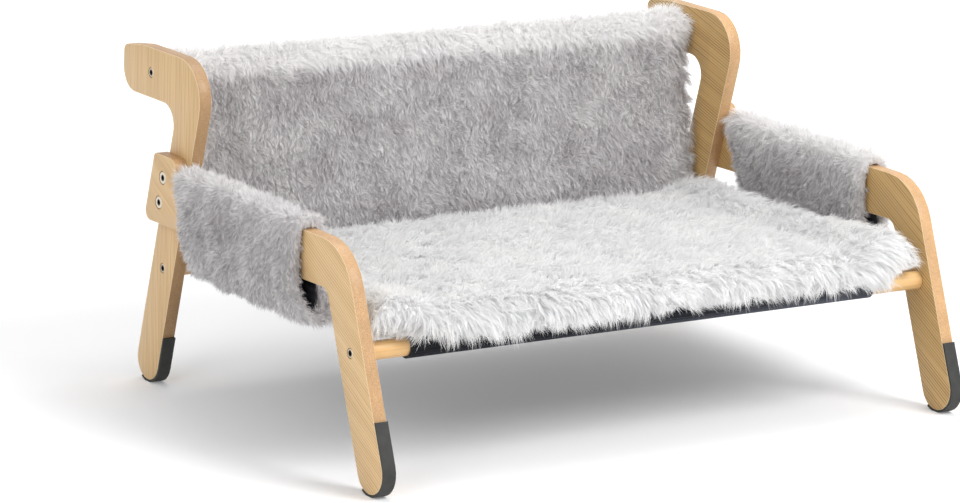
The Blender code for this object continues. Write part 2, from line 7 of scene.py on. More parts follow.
import bmesh
import bpy
import numpy as np
from mathutils import Matrix, Vector
from mathutils.bvhtree import BVHTree
from mathutils.kdtree import KDTree


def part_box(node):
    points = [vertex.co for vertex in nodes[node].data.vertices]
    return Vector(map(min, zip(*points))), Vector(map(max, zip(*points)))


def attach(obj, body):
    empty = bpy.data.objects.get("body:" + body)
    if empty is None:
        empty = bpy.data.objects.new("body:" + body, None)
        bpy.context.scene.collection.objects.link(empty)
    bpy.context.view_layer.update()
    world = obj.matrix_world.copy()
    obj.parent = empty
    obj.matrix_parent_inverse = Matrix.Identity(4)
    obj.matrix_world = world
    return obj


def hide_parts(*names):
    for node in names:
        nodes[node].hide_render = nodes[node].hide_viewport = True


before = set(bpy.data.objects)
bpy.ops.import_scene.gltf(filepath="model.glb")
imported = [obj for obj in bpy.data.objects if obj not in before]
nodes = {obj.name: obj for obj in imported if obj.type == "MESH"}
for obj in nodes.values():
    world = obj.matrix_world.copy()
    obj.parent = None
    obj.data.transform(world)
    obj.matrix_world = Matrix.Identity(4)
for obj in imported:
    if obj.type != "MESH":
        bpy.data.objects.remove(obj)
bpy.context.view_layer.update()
sides = ("left", "right")

# The photograph's camera
picture_width = 960
focal_length_pixels = 4503
camera_place = Vector((-2.1744, -3.1870, 1.0456))
camera_heading = radians(33.57)
camera_pitch = radians(13.40)
camera_roll = radians(2.02)


def add_object(name, data):
    """A new object in the scene."""
    added = bpy.data.objects.new(name, data)
    bpy.context.scene.collection.objects.link(added)
    return added


# Camera, floor and light
def make_camera():
    """The camera at the photograph's place, seeing the photograph's frame."""
    forward = Vector((sin(camera_heading) * cos(camera_pitch),
                      cos(camera_heading) * cos(camera_pitch), -sin(camera_pitch)))
    level = Vector((cos(camera_heading), -sin(camera_heading), 0))
    upright = level.cross(forward)
    right = cos(camera_roll) * level + sin(camera_roll) * upright
    up = cos(camera_roll) * upright - sin(camera_roll) * level
    data = bpy.data.cameras.new("camera")
    data.sensor_width = 36
    data.lens = focal_length_pixels / picture_width * data.sensor_width
    data.clip_end = 50
    camera = add_object("camera", data)
    camera.matrix_world = Matrix.Translation(camera_place) @ Matrix(
        (right, up, -forward)).transposed().to_4x4()
    bpy.context.scene.camera = camera


class Nodes:
    """A short way to build a node tree: make(kind, settings) and links by socket name."""

    def __init__(self, tree):
        self.tree = tree

    def make(self, kind, inputs=None, **settings):
        node = self.tree.nodes.new("ShaderNode" + kind)
        for name, value in settings.items():
            setattr(node, name, value)
        for name, value in (inputs or {}).items():
            self.set(node, name, value)
        return node

    def set(self, node, name, value):
        socket = node.inputs[name]
        if isinstance(value, bpy.types.NodeSocket):
            self.tree.links.new(value, socket)
        elif isinstance(value, tuple) and len(value) == 3 and socket.type == "RGBA":
            socket.default_value = (*value, 1)
        else:
            socket.default_value = value

    def math(self, operation, first, second=0.5, clamp=False):
        node = self.make("Math", operation=operation, use_clamp=clamp)
        self.set(node, 0, first)
        self.set(node, 1, second)
        return node.outputs[0]

    def ramp(self, factor, stops):
        """A colour ramp from (position, grey or colour) stops."""
        node = self.make("ValToRGB", {"Fac": factor})
        elements = node.color_ramp.elements
        while len(elements) < len(stops):
            elements.new(0.5)
        for element, (position, colour) in zip(elements, stops):
            element.position = position
            colour = colour if isinstance(colour, tuple) else (colour,) * 3
            element.color = (*colour, 1)
        return node.outputs[0]

    def mix(self, factor, first, second, blend="MIX"):
        node = self.make("Mix", data_type="RGBA", blend_type=blend)
        self.set(node, 0, factor)
        self.set(node, 6, first)
        self.set(node, 7, second)
        return node.outputs[2]

    def noise(self, vector, scale, detail=2.0, roughness=0.5, distortion=0.0):
        node = self.make("TexNoise", {"Vector": vector, "Scale": scale, "Detail": detail,
                                      "Roughness": roughness, "Distortion": distortion})
        return node.outputs["Fac"]

    def moved(self, vector, rotation=(0, 0, 0), scale=(1, 1, 1), location=(0, 0, 0)):
        node = self.make("Mapping", {"Vector": vector, "Rotation": rotation, "Scale": scale,
                                     "Location": location})
        return node.outputs[0]

    def bump(self, height, strength, distance):
        return self.make("Bump", {"Height": height, "Strength": strength,
                                  "Distance": distance}).outputs[0]


def new_material(name, roughness, metallic=0.0, sheen=0.0, coat=0.0, specular=0.5):
    """A material with its Principled shader, whose even values are on the shader itself."""
    material = bpy.data.materials.new(name)
    material.use_nodes = True
    shader = material.node_tree.nodes["Principled BSDF"]
    shader.inputs["Roughness"].default_value = roughness
    shader.inputs["Metallic"].default_value = metallic
    shader.inputs["Sheen Weight"].default_value = sheen
    shader.inputs["Coat Weight"].default_value = coat
    shader.inputs["Specular IOR Level"].default_value = specular
    return material, Nodes(material.node_tree), shader


# The floor glows by near_lift within near_distance of the bed and by up to far_lift beyond
floor_half_width = 6
floor_colour = (0.86, 0.86, 0.87)
near_lift = 0.16
far_lift = 0.56
near_distance = 0.9
world_strength = 0.58


def looked_at(n):
    """1 for rays that make a picture, straight or by way of a mirror or glass, else 0."""
    path = n.make("LightPath")
    seen = n.math("MAXIMUM", path.outputs["Is Camera Ray"], path.outputs["Is Glossy Ray"])
    return n.math("MAXIMUM", seen, path.outputs["Is Transmission Ray"])


def make_stage():
    """A pale floor that fades to white for the camera, and an even white world."""
    half = floor_half_width
    corners = [(-half, -half, 0), (half, -half, 0), (half, half, 0), (-half, half, 0)]
    mesh = bpy.data.meshes.new("floor")
    mesh.from_pydata(corners, [], [(0, 1, 2, 3)])
    floor = add_object("floor", mesh)
    material = bpy.data.materials.new("floor")
    material.use_nodes = True
    n = Nodes(material.node_tree)
    output = material.node_tree.nodes["Material Output"]
    material.node_tree.nodes.remove(material.node_tree.nodes["Principled BSDF"])
    diffuse = n.make("BsdfDiffuse", {"Color": floor_colour})
    away = n.make("VectorMath", {0: n.make("TexCoord").outputs["Object"]},
                  operation="LENGTH").outputs["Value"]
    beyond = n.math("SUBTRACT", away, near_distance, clamp=True)
    lift = n.math("ADD", n.math("MULTIPLY", beyond, far_lift - near_lift), near_lift)
    strength = n.math("MULTIPLY", looked_at(n), lift)
    glow = n.make("Emission", {"Color": (1.0, 1.0, 1.0), "Strength": strength})
    total = n.make("AddShader")
    n.set(total, 0, diffuse.outputs[0])
    n.set(total, 1, glow.outputs[0])
    n.set(output, "Surface", total.outputs[0])
    mesh.materials.append(material)

    world = bpy.data.worlds.new("studio")
    bpy.context.scene.world = world
    world.use_nodes = True
    n = Nodes(world.node_tree)
    background = world.node_tree.nodes["Background"]
    lit = n.math("MULTIPLY", looked_at(n), 1 - world_strength)
    background.inputs["Color"].default_value = (1, 1, 1, 1)
    n.set(background, "Strength", n.math("ADD", lit, world_strength))


# Each lamp's place, target, size and power
lamps = {
    "key": ((0.95, -1.9, 2.05), (0, 0, 0.1), 1.3, 51),
    "left_front": ((-2.1, -1.0, 1.2), (-0.2, 0, 0.15), 1.1, 13),
    "overhead": ((0.5, 0.3, 2.3), (0, 0, 0.15), 1.5, 23),
}


def area_light(name, place, target, size, power):
    """A soft square lamp at a place, aimed at a target."""
    data = bpy.data.lights.new(name, "AREA")
    data.shape = "SQUARE"
    data.size = size
    data.energy = power
    lamp = add_object(name, data)
    lamp.location = place
    aim = Vector(target) - Vector(place)
    lamp.rotation_euler = aim.to_track_quat("-Z", "Y").to_euler()


def make_lights():
    """A large key lamp at the right front, a wide soft one at the left and one overhead."""
    for name, lamp in lamps.items():
        area_light(name, *lamp)


# Wood
# Each board's grain direction in its own plane, the tones of its face (darker on the right
# boards, as painted shade), how pale its edge is
board_looks = {"arm_board_left": (radians(-28), "plain", 0.86),
               "arm_board_right": (radians(-29), "painted_shade", 0.96),
               "post_board_left": (radians(-86), "plain", 0.68),
               "post_board_right": (radians(-17), "painted_shade", 0.92)}

# Pale and deep wood, and what the ring lines multiply it by. The right boards' darker pale
# and deep wood is painted shade; their darker ring lines are grain
board_tones = {"plain": ((0.80, 0.565, 0.300), (0.71, 0.485, 0.245), (0.68, 0.57, 0.44)),
               "painted_shade": ((0.67, 0.435, 0.182), (0.57, 0.360, 0.138), (0.34, 0.30, 0.22))}
edge_tones = ((0.47, 0.255, 0.105), (0.80, 0.51, 0.265))
# Colour of the painted highlight along the boards' rounded edges
bevel_highlight_tone = (0.96, 0.78, 0.52)
ring_spacing = 0.0026
seed_spacing = 0.37


def board_material(name, angle, tones, edge_tone, seed):
    """Varnished board: fine straight grain on its faces, speckled end grain on its edges,
    and a painted highlight on the rounded edges between them.

    angle is the grain's direction in the board's plane.
    """
    pale, deep, ring_tone = board_tones[tones]
    material, n, shader = new_material(name, 0.42, specular=0.4, coat=0.08)
    place = n.make("TexCoord").outputs["Object"]
    turned = n.moved(place, rotation=(angle, 0, 0), location=(0, 0, seed))
    pores = n.noise(n.moved(turned, scale=(90, 12, 2100)), 1.0, 2, 0.6, 0.3)
    strong = n.noise(n.moved(turned, scale=(60, 6, 260)), 1.0, 2, 0.6)
    bands = n.noise(n.moved(turned, scale=(30, 1.5, 90)), 1.0, 2, 0.5)
    base = n.ramp(bands, [(0.3, deep), (0.7, pale)])
    lines = n.make("TexWave", {"Vector": n.moved(turned, scale=(0.3, 0.06, 1)),
                               "Scale": 2 * pi / (20 * ring_spacing), "Distortion": 5.0,
                               "Detail": 2.0, "Detail Scale": 0.35},
                   bands_direction="Z", wave_profile="SAW").outputs["Fac"]
    late = n.math("MULTIPLY", n.ramp(lines, [(0.60, 0.0), (0.88, 1.0), (1.0, 0.70)]),
                  n.ramp(strong, [(0.36, 0.20), (0.56, 1.0)]))
    dark = n.mix(1.0, base, ring_tone, "MULTIPLY")
    face = n.mix(late, base, dark)
    face = n.mix(1.0, face, n.ramp(pores, [(0.3, 0.84), (0.6, 1.0)]), "MULTIPLY")
    speckle = n.noise(place, 1300, 3, 0.75)
    cloudy = n.noise(place, 45, 3, 0.6)
    edge = n.ramp(speckle, [(0.32, edge_tones[0]), (0.68, edge_tones[1])])
    # edge_tone scales each board's edge colour; the left post's low value is painted shade
    # on its edges
    edge = n.mix(1.0, edge, n.ramp(cloudy, [(0.3, 0.84 * edge_tone), (0.7, edge_tone)]),
                 "MULTIPLY")
    normal = n.make("NewGeometry").outputs["True Normal"]
    across = n.make("SeparateXYZ", {"Vector": normal}).outputs["X"]
    facing = n.math("ABSOLUTE", across)
    on_face = n.ramp(facing, [(0.80, 0.0), (0.95, 1.0)])
    # Painted highlight on the rounded edges between face and edge
    bevel_highlight = n.ramp(facing, [(0.25, 0.0), (0.36, 0.35), (0.80, 0.35), (0.90, 0.80),
                           (0.94, 0.80), (0.985, 0.0)])
    colour = n.mix(on_face, edge, face)
    colour = n.mix(bevel_highlight, colour, bevel_highlight_tone)
    n.set(shader, "Base Color", colour)
    height = n.math("ADD", n.math("MULTIPLY", lines, 0.7), n.math("MULTIPLY", pores, 0.5))
    n.set(shader, "Normal", n.bump(height, 0.3, 0.0004))
    n.set(shader, "Roughness", n.ramp(pores, [(0.3, 0.52), (0.7, 0.38)]))
    return material


def rod_material():
    """Turned dowel, warmer than the boards, grain along it."""
    material, n, shader = new_material("rod_wood", 0.40, specular=0.4, coat=0.1)
    place = n.make("TexCoord").outputs["Object"]
    streaks = n.noise(n.moved(place, scale=(5, 420, 420)), 1.0, 3, 0.6, 0.3)
    bands = n.noise(n.moved(place, scale=(6, 60, 60)), 1.0, 2, 0.5)
    base = n.ramp(bands, [(0.3, (0.74, 0.44, 0.175)), (0.7, (0.82, 0.535, 0.245))])
    fine = n.ramp(streaks, [(0.3, 0.80), (0.6, 1.0)])
    n.set(shader, "Base Color", n.mix(1.0, base, fine, "MULTIPLY"))
    n.set(shader, "Normal", n.bump(streaks, 0.2, 0.0003))
    return material


# Metal and rubber
def steel_material(name, colour, roughness):
    """Plated steel with faint turning marks and a few darker specks."""
    material, n, shader = new_material(name, roughness, metallic=1.0)
    place = n.make("TexCoord").outputs["Object"]
    grain = n.noise(place, 2200, 3, 0.6)
    tone = n.ramp(n.noise(place, 300, 2), [(0.3, tuple(0.86 * c for c in colour)),
                                           (0.7, colour)])
    n.set(shader, "Base Color", tone)
    n.set(shader, "Roughness", n.ramp(grain, [(0.3, roughness + 0.12), (0.7, roughness)]))
    n.set(shader, "Normal", n.bump(grain, 0.15, 0.0001))
    return material


recess_radius = 0.0029
painted_recess_shade = (0.045, 0.042, 0.040)
bolt_tone = (0.68, 0.61, 0.50)
screw_tone = (0.66, 0.57, 0.43)


def head_material(name, ring):
    """Turned head of the colour ring, with painted shade in its recess and a painted shadow
    round its rim, round its node's own X axis.
    """
    low, high = (Vector(corner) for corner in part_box(name))
    middle = (low + high) / 2
    material, n, shader = new_material(name, 0.3, metallic=1.0)
    place = n.make("TexCoord").outputs["Object"]
    flat = n.moved(place, location=(0, -middle.y, -middle.z))
    split = n.make("SeparateXYZ", {"Vector": flat})
    disc = n.make("CombineXYZ", {"Y": split.outputs["Y"], "Z": split.outputs["Z"]})
    radius = n.make("VectorMath", {0: disc.outputs[0]}, operation="LENGTH").outputs["Value"]
    share = n.math("DIVIDE", radius, recess_radius * 2)
    # Painted shade fills the recess, and a painted shadow darkens the head's rim
    tone = n.ramp(share, [(0.44, painted_recess_shade), (0.52, tuple(0.9 * c for c in ring)),
                          (0.84, ring), (1.0, tuple(0.4 * c for c in ring))])
    rings = n.make("TexNoise", {"Vector": n.make("CombineXYZ", {"X": radius}).outputs[0],
                                "Scale": 9000.0}).outputs["Fac"]
    grain = n.noise(place, 2500, 3, 0.6)
    n.set(shader, "Base Color", tone)
    n.set(shader, "Roughness", n.ramp(grain, [(0.3, 0.42), (0.7, 0.26)]))
    n.set(shader, "Normal", n.bump(n.math("ADD", rings, grain), 0.25, 0.0001))
    return material


def rubber_material():
    """Charcoal foot pads with a fine matt grain and paler scuffed edges."""
    material, n, shader = new_material("pad_rubber", 0.62, specular=0.35)
    place = n.make("TexCoord").outputs["Object"]
    grain = n.noise(place, 1500, 3, 0.65)
    scuff = n.noise(place, 90, 4, 0.6)
    colour = n.ramp(scuff, [(0.35, (0.032, 0.033, 0.031)), (0.75, (0.050, 0.052, 0.048))])
    n.set(shader, "Base Color", colour)
    n.set(shader, "Roughness", n.ramp(grain, [(0.3, 0.72), (0.7, 0.58)]))
    n.set(shader, "Normal", n.bump(grain, 0.35, 0.0003))
    return material


thread_pitch = 0.0009


def canvas_material():
    """Black canvas: a plain weave of two thread directions, with dust in the hollows."""
    material, n, shader = new_material("canvas", 0.9, sheen=0.25, specular=0.2)
    shader.inputs["Sheen Roughness"].default_value = 0.4
    shader.inputs["Sheen Tint"].default_value = (0.6, 0.65, 0.8, 1)
    place = n.make("TexCoord").outputs["Object"]
    bands = 2 * pi / (20 * thread_pitch)
    warp = n.make("TexWave", {"Vector": place, "Scale": bands, "Distortion": 0.3},
                  bands_direction="X").outputs["Fac"]
    weft = n.make("TexWave", {"Vector": place, "Scale": bands, "Distortion": 0.3},
                  bands_direction="Y").outputs["Fac"]
    weave = n.math("MULTIPLY", warp, weft)
    lint = n.noise(place, 240, 3, 0.6)
    colour = n.ramp(weave, [(0.1, (0.010, 0.011, 0.014)), (0.8, (0.030, 0.033, 0.042))])
    colour = n.mix(n.ramp(lint, [(0.62, 0.0), (0.8, 0.25)]), colour, (0.10, 0.10, 0.12))
    n.set(shader, "Base Color", colour)
    n.set(shader, "Normal", n.bump(weave, 0.5, 0.0004))
    return material


def thread_material():
    """Black twisted sewing thread, a little shinier than the canvas."""
    material, n, shader = new_material("thread", 0.6, specular=0.4)
    place = n.make("TexCoord").outputs["Object"]
    twist = n.make("TexWave", {"Vector": place, "Scale": 900.0, "Distortion": 1.0},
                   bands_direction="DIAGONAL").outputs["Fac"]
    n.set(shader, "Base Color", n.ramp(twist, [(0.2, (0.03, 0.03, 0.036)),
                                               (0.8, (0.085, 0.085, 0.095))]))
    n.set(shader, "Normal", n.bump(twist, 0.4, 0.0001))
    return material


see_through = 0.45


def plush_material(name, root, tip, crest_highlight_colour, patch, darkest):
    """Plush pile: painted shade darkens it towards the root, it is pale at the tip, a
    painted highlight brightens the crests, and it is cloudy all over.

    patch is the tone of the clouds and darkest that of the darkest strands.
    """
    material, n, shader = new_material(name, 0.85, sheen=0.3, specular=0.15)
    shader.inputs["Sheen Roughness"].default_value = 0.5
    place = n.make("TexCoord").outputs["Object"]
    along = n.make("Attribute", attribute_name="along").outputs["Fac"]
    own = n.make("Attribute", attribute_name="shade").outputs["Fac"]
    crest = n.make("Attribute", attribute_name="crest").outputs["Fac"]
    cloud = n.noise(place, 26, 3, 0.6)
    # Painted shade: the strands darken towards the root
    colour = n.ramp(along, [(0.0, root), (0.75, tip)])
    colour = n.mix(1.0, colour, n.ramp(cloud, [(0.38, patch), (0.58, 1.0)]), "MULTIPLY")
    shade = n.ramp(own, [(0.12, darkest), (0.6, 1.0)])
    colour = n.mix(1.0, colour, shade, "MULTIPLY")
    # Painted highlight: the crests turn towards the highlight colour
    colour = n.mix(crest, colour, crest_highlight_colour)
    n.set(shader, "Base Color", colour)
    through = n.make("BsdfTranslucent", {"Color": colour})
    both = n.make("MixShader", {"Fac": see_through})
    n.set(both, 1, shader.outputs[0])
    n.set(both, 2, through.outputs[0])
    n.set(material.node_tree.nodes["Material Output"], "Surface", both.outputs[0])
    return material


# For the plushes, the root colour carries painted shade and the crest colour is a painted
# highlight
materials = {
    "rod_wood": rod_material(),
    "insert_steel": steel_material("insert_steel", (0.60, 0.52, 0.34), 0.35),
    "pad_rubber": rubber_material(),
    "canvas": canvas_material(),
    "thread": thread_material(),
    "grey_plush": plush_material("grey_plush", root=(0.77, 0.755, 0.76),
                                 tip=(0.985, 0.97, 0.97), crest_highlight_colour=(0.975, 0.97, 0.965),
                                 patch=(0.87, 0.86, 0.87), darkest=0.53),
    "pale_plush": plush_material("pale_plush", root=(0.93, 0.93, 0.935),
                                 tip=(0.99, 0.99, 0.985), crest_highlight_colour=(0.99, 0.99, 0.99),
                                 patch=(0.95, 0.95, 0.955), darkest=0.88),
}

weld_distance = 0.00002
crisp_angle = radians(32)


def dress_frame():
    """Give each hard CAD node its material and round shading."""
    for seed, (name, look) in enumerate(board_looks.items()):
        nodes[name].data.materials.clear()
        nodes[name].data.materials.append(board_material(name, *look, seed_spacing * seed))
    for name, node in nodes.items():
        kind = None
        if name.endswith("_rod"):
            kind = materials["rod_wood"]
        elif "insert" in name:
            kind = materials["insert_steel"]
        elif "bolt" in name:
            kind = head_material(name, bolt_tone)
        elif "screw" in name:
            kind = head_material(name, screw_tone)
        elif "pad" in name:
            kind = materials["pad_rubber"]
        if kind:
            node.data.materials.clear()
            node.data.materials.append(kind)
        weld = node.modifiers.new("weld", "WELD")
        weld.merge_threshold = weld_distance
        node.data.shade_smooth()
        split = node.modifiers.new("crisp_edges", "EDGE_SPLIT")
        split.split_angle = crisp_angle


# Meshes and what lies near them
def copy_of(node_name, name):
    """A new object with a welded copy of a CAD node's mesh."""
    mesh = nodes[node_name].data.copy()
    piece = add_object(name, mesh)
    shape = bmesh.new()
    shape.from_mesh(mesh)
    bmesh.ops.remove_doubles(shape, verts=shape.verts, dist=weld_distance)
    shape.to_mesh(mesh)
    shape.free()
    return piece


def dress(piece, kind):
    """Give a soft piece round shading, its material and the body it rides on."""
    piece.data.shade_smooth()
    piece.data.materials.clear()
    piece.data.materials.append(materials[kind])
    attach(piece, "root")


def vectors_of(mesh, field):
    """One x, y, z row for each point of a mesh."""
    found = np.empty(len(mesh.vertices) * 3, np.float32)
    mesh.vertices.foreach_get(field, found)
    return found.reshape(-1, 3).astype(float)


def points_of(mesh):
    return vectors_of(mesh, "co")


def normals_of(mesh):
    return vectors_of(mesh, "normal")


def set_points(mesh, places):
    mesh.vertices.foreach_set("co", places.astype(np.float32).ravel())
    mesh.update()


def set_values(mesh, field, values):
    """Store one value for each point, which the material reads by the field's name."""
    stored = mesh.attributes.new(field, "FLOAT", "POINT")
    stored.data.foreach_set("value", values.astype(np.float32))


def faces_of(mesh):
    return [list(face.vertices) for face in mesh.polygons]


def search_tree(mesh):
    """A search tree over a mesh's faces."""
    return BVHTree.FromPolygons([v.co for v in mesh.vertices], faces_of(mesh))


def search_around(names, walls=(), pieces=()):
    """A search tree over CAD nodes' faces, upright walls at some x, and other pieces."""
    places, faces = [], []
    for x in walls:
        faces.append([len(places) + i for i in range(4)])
        places += [Vector((x, y, z)) for y, z in ((-1, -1), (1, -1), (1, 1), (-1, 1))]
    for mesh in [nodes[name].data for name in names] + [piece.data for piece in pieces]:
        first = len(places)
        places += [v.co.copy() for v in mesh.vertices]
        faces += [[first + i for i in face.vertices] for face in mesh.polygons]
    return BVHTree.FromPolygons(places, faces)


def unit(vectors):
    return vectors / np.maximum(np.linalg.norm(vectors, axis=1), 1e-9)[:, None]


def step(values, low, high):
    """Smooth step from 0 at low to 1 at high."""
    share = np.clip((values - low) / (high - low), 0, 1)
    return share * share * (3 - 2 * share)


noise_waves = 7


def even_noise(points, scale, seed):
    """Smooth repeatable noise from -1 to 1 at some points, waves about scale long."""
    rng = np.random.default_rng(seed)
    total = np.zeros(len(points))
    for _ in range(noise_waves):
        way = rng.normal(0, 1, 3)
        way /= np.linalg.norm(way)
        wave = scale * rng.uniform(0.6, 1.8)
        total += np.sin(points @ way * (2 * pi / wave) + rng.uniform(0, 2 * pi))
    return total / (noise_waves / 2)


# The bodies under the pile
swell_pressure = 4.0
swell_frames = 20
swell_gap = 0.001
sink_passes = 3
skin = 0.0005
thickest_body = 0.05
near_body = 0.006
clear_gap = 0.0004
clear_depth = 0.002
clear_passes = 3
pull_passes = 5
body_shade = 0.4

# Each body: the size of its even faces, how far it may swell, how far its free faces sink
# below the pile and the least thickness they leave, and where on a strand its colour lies,
# nearer the root meaning more painted shade
bodies = {
    "seat": {"faces": 0.004, "swell": 0.004, "sink": 0.002, "least": 0.006, "along": 0.6},
    "back": {"faces": 0.003, "swell": 0.003, "sink": 0.004, "least": 0.003, "along": 0.25},
    "sleeve": {"faces": 0.0025, "swell": 0.002, "sink": 0.002, "least": 0.0025,
               "along": 0.25},
}


def swell(piece, search, most):
    """Swell a closed piece with a short cloth simulation, kept clear of its neighbours."""
    start = points_of(piece.data)
    cloth = piece.modifiers.new("cloth", "CLOTH")
    cloth.settings.use_pressure = True
    cloth.settings.uniform_pressure_force = swell_pressure
    cloth.settings.quality = 4
    cloth.settings.effector_weights.gravity = 0
    cloth.point_cache.frame_start = 1
    cloth.point_cache.frame_end = swell_frames
    scene = bpy.context.scene
    for number in range(1, swell_frames + 1):
        scene.frame_set(number)
    graph = bpy.context.evaluated_depsgraph_get()
    moved = points_of(piece.evaluated_get(graph).data)
    piece.modifiers.clear()
    scene.frame_set(1)
    # Only the outward part is kept, up to the most and to the room there is
    way = moved - start
    out = normals_of(piece.data)
    way -= out * np.minimum((way * out).sum(1), 0)[:, None]
    far = np.linalg.norm(way, axis=1)
    room = np.array([search.find_nearest(Vector(p))[3] for p in start]) - swell_gap
    allowed = np.minimum(most, np.maximum(room, 0))
    way *= np.minimum(1, allowed / np.maximum(far, 1e-9))[:, None]
    set_points(piece.data, start + way)


def sink(piece, search, depth, least):
    """Move a piece's free faces in by the height of its pile, down to a least thickness."""
    mesh = piece.data
    start = points_of(mesh)
    normals = normals_of(mesh)
    own = search_tree(mesh)
    way = np.zeros(len(start))
    for i, (place, out) in enumerate(zip(start, normals)):
        inward = Vector(-out)
        within = own.ray_cast(Vector(place) + inward * skin, inward, thickest_body)
        beyond = search.ray_cast(Vector(place), Vector(out), near_body)
        if beyond[0] is None and within[0] is not None:
            way[i] = min(depth, max(0, within[3] - least))
    edges = np.empty(len(mesh.edges) * 2, np.int32)
    mesh.edges.foreach_get("vertices", edges)
    a, b = edges.reshape(-1, 2).T
    count = np.maximum(np.bincount(edges, minlength=len(start)), 1)
    for _ in range(sink_passes):
        total = np.zeros(len(start))
        np.add.at(total, a, way[b])
        np.add.at(total, b, way[a])
        way = 0.5 * way + 0.5 * total / count
    set_points(mesh, start - normals * way[:, None])


def clear(piece, search):
    """Draw a piece back to a small gap wherever it touches or enters a neighbour.

    Each point is first drawn back along its own normal. Then the triangles that still cross
    a neighbour's are pulled in.
    """
    mesh = piece.data
    for _ in range(clear_passes):
        places = points_of(mesh)
        for i, out in enumerate(normals_of(mesh)):
            start = Vector(places[i] - out * clear_depth)
            hit = search.ray_cast(start, Vector(out), clear_depth + clear_gap)
            if hit[0] is not None:
                places[i] = start + Vector(out) * max(0, hit[3] - clear_gap)
        set_points(mesh, places)
    faces = faces_of(mesh)
    for _ in range(pull_passes):
        crossing = {own for own, other in search_tree(mesh).overlap(search)}
        touching = sorted({i for own in crossing for i in faces[own]})
        places = points_of(mesh)
        places[touching] -= normals_of(mesh)[touching] * clear_gap
        set_points(mesh, places)


def move_points(piece, change):
    """Move a piece's points to change(points, normals)."""
    mesh = piece.data
    set_points(mesh, change(points_of(mesh), normals_of(mesh)))


def make_body(node_name, name, kind, body, search, change, crest=None):
    """The closed body of a plush piece: the CAD solid, smoothed, swelled and sunk."""
    piece = copy_of(node_name, name)
    remesh = piece.modifiers.new("even", "REMESH")
    remesh.mode = "VOXEL"
    remesh.voxel_size = body["faces"]
    smooth = piece.modifiers.new("smooth", "SMOOTH")
    smooth.iterations = 4
    smooth.factor = 0.5
    graph = bpy.context.evaluated_depsgraph_get()
    mesh = bpy.data.meshes.new_from_object(piece.evaluated_get(graph), depsgraph=graph)
    piece.modifiers.clear()
    piece.data = mesh
    swell(piece, search, body["swell"])
    sink(piece, search, body["sink"], body["least"])
    move_points(piece, change)
    clear(piece, search)
    even = np.ones(len(mesh.vertices))
    # The painted highlight on the body's crests
    bright = 0 * even if crest is None else crest(points_of(mesh), normals_of(mesh))
    # The body takes a strand's colour near its root, with the root's painted shade
    set_values(mesh, "along", body["along"] * even)
    set_values(mesh, "shade", body_shade * even)
    set_values(mesh, "crest", bright)
    dress(piece, kind)
    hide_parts(node_name)
    return piece


def make_cloth(node_name, name, change=None):
    """A thin cloth layer: the CAD sheet, with round shading and any change of its shape."""
    piece = copy_of(node_name, name)
    if change is not None:
        move_points(piece, change)
    dress(piece, "canvas")
    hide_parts(node_name)
    return piece


# The pile. How it lies on each piece: strands per square metre, their length and width, how
# far they stand up, lean with the comb, curl over and droop, how ruffled they are, the size
# of tufts and of larger locks with how closely their tips gather, and how near a neighbour
# leaves no room for a strand; sizes in metres
styles = {
    "back": {"density": 1250000, "length": 0.0070, "width": 0.00039, "upright": 0.66,
             "lean": 0.50, "curl": 0.9, "droop": 0.1, "ruffle": 0.50, "tuft": 0.0014,
             "gather": 0.60, "lock": 0.0042, "lock_gather": 0.42, "near": 0.0008},
    "sleeve": {"density": 1350000, "length": 0.0058, "width": 0.00036, "upright": 0.60,
               "lean": 0.60, "curl": 0.5, "droop": 0.1, "ruffle": 0.34, "tuft": 0.0015,
               "gather": 0.55, "lock": 0.0040, "lock_gather": 0.3, "near": 0.004},
    "ruffled": {"density": 1150000, "length": 0.0072, "width": 0.00042, "upright": 0.65,
                "lean": 0.50, "curl": 0.7, "droop": 0.1, "ruffle": 0.46, "tuft": 0.0016,
                "gather": 0.60, "lock": 0.0045, "lock_gather": 0.40, "near": 0.004},
    "seat": {"density": 950000, "length": 0.0125, "width": 0.00048, "upright": 0.60,
             "lean": 0.7, "curl": 0.5, "droop": 0.25, "ruffle": 0.26, "tuft": 0.0022,
             "gather": 0.5, "lock": 0.0070, "lock_gather": 0.40, "near": 0.007},
}

most_strands = 64000
length_spread = (0.55, 1.15)
width_spread = (0.7, 1.2)
strand_ruffle = 0.5
lock_ruffle = 0.8
least_outward = 0.15
middle_gather = 0.4
strand_gap = 0.001
least_strand = 0.25
twist = 0.35
own_shade = 0.45
tuft_shade = 0.55
swirl_size = 0.040
cover_half_width = 0.27

# A strand has five points: two at its root, two at its middle and its tip. A face with four
# corners and one with three join them. Each strand has a cell of its own in the bake map
middle_width = 0.85
strand_along = (0, 0, 0.5, 0.5, 1)
strand_corners = (0, 1, 3, 2, 2, 3, 4)
strand_face_starts = (0, 4)
strand_spots = ((0.12, 0.12), (0.88, 0.12), (0.12, 0.5), (0.88, 0.5), (0.5, 0.88))


def scattered(base, density, rng):
    """Even random points on a base piece's surface, with the smooth normals there."""
    mesh = base.data
    mesh.calc_loop_triangles()
    count = len(mesh.loop_triangles)
    corners = np.empty(count * 3, np.int32)
    mesh.loop_triangles.foreach_get("vertices", corners)
    corners = corners.reshape(-1, 3)
    places = points_of(mesh)
    normals = normals_of(mesh)
    a, b, c = places[corners].transpose(1, 0, 2)
    area = np.linalg.norm(np.cross(b - a, c - a), axis=1) / 2
    total = int(area.sum() * density)
    chosen = rng.choice(count, total, p=area / area.sum())
    u, v = rng.random((2, total))
    over = u + v > 1
    u[over], v[over] = 1 - u[over], 1 - v[over]
    weights = np.stack([1 - u - v, u, v], 1)[:, :, None]
    root = (places[corners[chosen]] * weights).sum(1)
    return root, unit((normals[corners[chosen]] * weights).sum(1))


